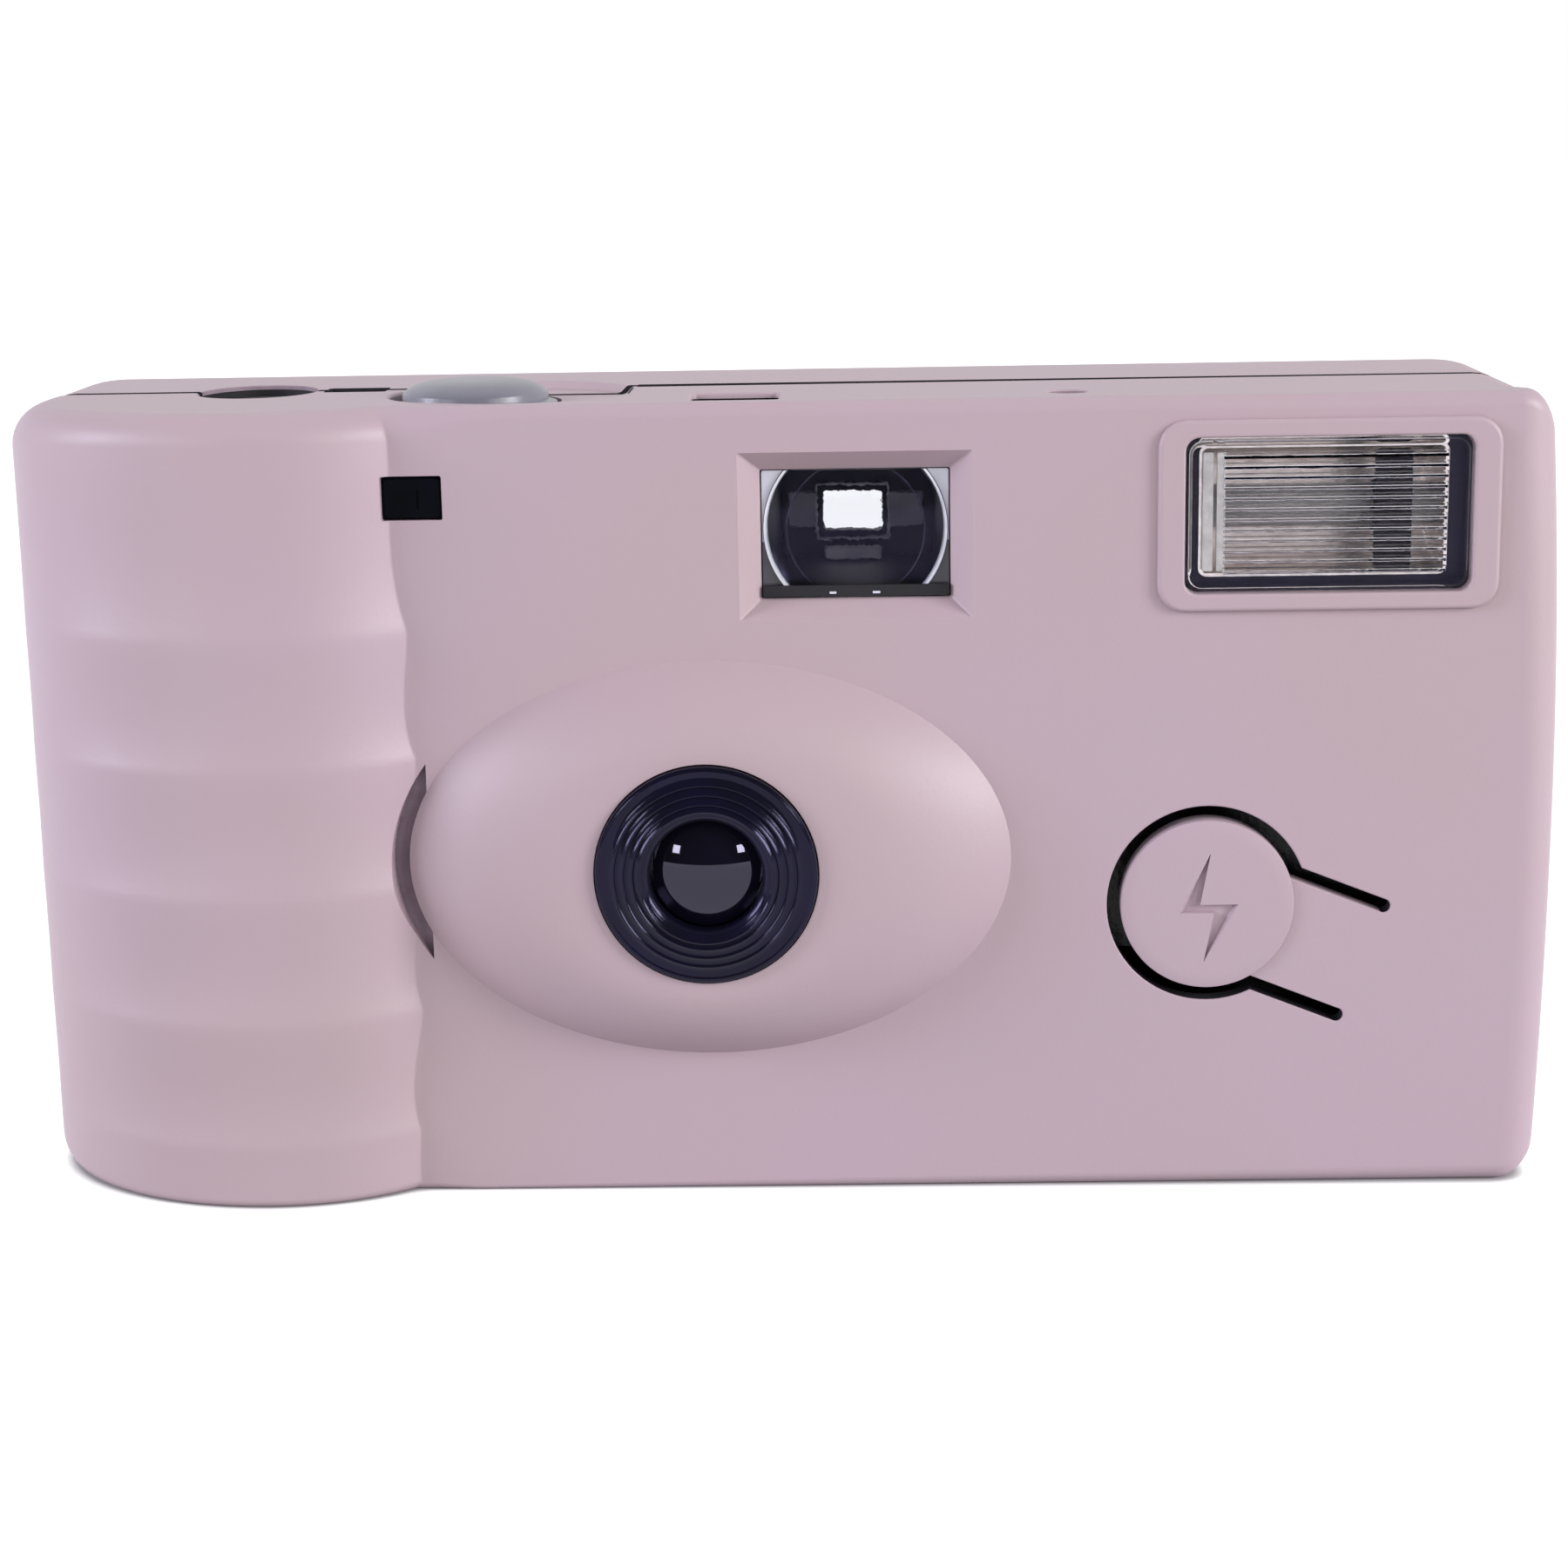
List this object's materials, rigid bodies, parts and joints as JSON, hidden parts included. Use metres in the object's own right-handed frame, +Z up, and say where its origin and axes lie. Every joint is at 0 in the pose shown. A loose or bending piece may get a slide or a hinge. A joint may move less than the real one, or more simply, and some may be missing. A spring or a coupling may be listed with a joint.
{
  "type": "disposable film camera",
  "caption": "Compact single-use film camera with flash: two lilac plastic shells round a black chassis, ribbed finger grip, stepped lens ring, viewfinder, charge button and winding wheel.",
  "frame": {"origin": "bottom centre of the box round the camera", "axes": "+X to the right as seen from the front, +Y from the lens toward the back, +Z up; the lens faces -Y"},
  "size_m": [0.116, 0.0352, 0.0612],
  "materials": {
    "lilac_plastic": "satin moulded",
    "black_plastic": "matt moulded",
    "gloss_black_plastic": "polished",
    "grey_plastic": "satin",
    "white_plastic": "printed",
    "smoke_pane": "polished",
    "clear_plastic": "polished",
    "glass": "polished",
    "amber_lamp": "polished",
    "reflector_foil": "bright",
    "spring_steel": "bright",
    "brass_leaf": "bright",
    "board": "lacquered",
    "capacitor_sleeve": "shrink sleeve",
    "winding_tape": "tape",
    "copper_coil": "lacquered wire",
    "cell_jacket": "printed sleeve",
    "cartridge_tin": "lacquered",
    "film": "gelatine"
  },
  "bodies": {
    "camera": {"front_cover": "lilac_plastic", "back_cover": "lilac_plastic", "grip_window": "smoke_pane", "main_frame": "black_plastic", "lens_ring": "gloss_black_plastic", "taking_lens": "glass", "shutter_plate": "black_plastic", "shutter_spring": "spring_steel", "sync_contact": "brass_leaf", "finder_front_lens": "clear_plastic", "finder_tube": "black_plastic", "finder_eyepiece": "clear_plastic", "flash_window": "clear_plastic", "flash_holder": "black_plastic", "flash_reflector": "reflector_foil", "flash_tube": "glass", "ready_lamp": "amber_lamp", "circuit_board": "board", "flash_capacitor": "capacitor_sleeve", "flash_transformer": "winding_tape", "trigger_coil": "copper_coil", "flash_transistor": "black_plastic", "charge_leaf": "brass_leaf", "battery": "cell_jacket", "battery_contact_plus": "spring_steel", "battery_contact_minus": "spring_steel", "film_cartridge": "cartridge_tin", "film_strip": "film"},
    "winding": {"wind_wheel": "black_plastic", "cartridge_spool": "black_plastic"},
    "sprocket_shaft": {"sprocket": "black_plastic"},
    "counter": {"counter_dial": "white_plastic"},
    "supply": {"supply_roll": "film", "supply_spool": "black_plastic"},
    "release_button": {"shutter_button": "grey_plastic", "button_spring": "spring_steel"},
    "lever": {"release_lever": "spring_steel"},
    "blade": {"shutter_blade": "spring_steel"},
    "charge_button": {"flash_button": "lilac_plastic"}
  },
  "joints": [
    {"name": "wind_spin", "type": "hinge", "parent": "camera", "child": "winding", "pos_m": [-0.039, 0.00255, 0.053], "axis": [0, 0, 1], "continuous": true},
    {"name": "sprocket_spin", "type": "hinge", "parent": "camera", "child": "sprocket_shaft", "pos_m": [-0.0185, 0.0077, 0.05], "axis": [0, 0, 1], "continuous": true},
    {"name": "counter_spin", "type": "hinge", "parent": "camera", "child": "counter", "pos_m": [-0.0075, -0.00045, 0.057], "axis": [0, 0, 1], "continuous": true},
    {"name": "supply_spin", "type": "hinge", "parent": "camera", "child": "supply", "pos_m": [0.0425, 0.00535, 0.026], "axis": [0, 0, 1], "continuous": true},
    {"name": "release_press", "type": "slide", "parent": "camera", "child": "release_button", "axis": [0, 0, -1], "range_m": [0, 0.0012], "stiffness_N_per_m": 600, "deforming": ["button_spring"]},
    {"name": "lever_tilt", "type": "hinge", "parent": "camera", "child": "lever", "pos_m": [-0.0125, -0.00245, 0.0475], "axis": [0, -1, 0], "range_deg": [0, 8]},
    {"name": "blade_swing", "type": "hinge", "parent": "camera", "child": "blade", "pos_m": [-0.0115, -0.00835, 0.0335], "axis": [0, 1, 0], "range_deg": [0, 30], "stiffness_Nm_per_rad": 0.002},
    {"name": "charge_press", "type": "hinge", "parent": "camera", "child": "charge_button", "pos_m": [0.04354, -0.01035, 0.01767], "axis": [-0.3681, 0, -0.9298], "range_deg": [0, 5], "stiffness_Nm_per_rad": 0.6}
  ],
  "couplings": [
    {"joint": "sprocket_spin", "follows": "wind_spin", "ratio": 0.9322},
    {"joint": "supply_spin", "follows": "wind_spin", "ratio": 0.6471},
    {"joint": "counter_spin", "follows": "wind_spin", "ratio": -0.02331},
    {"joint": "lever_tilt", "follows": "release_press", "rad_per_m": 109.08}
  ]
}
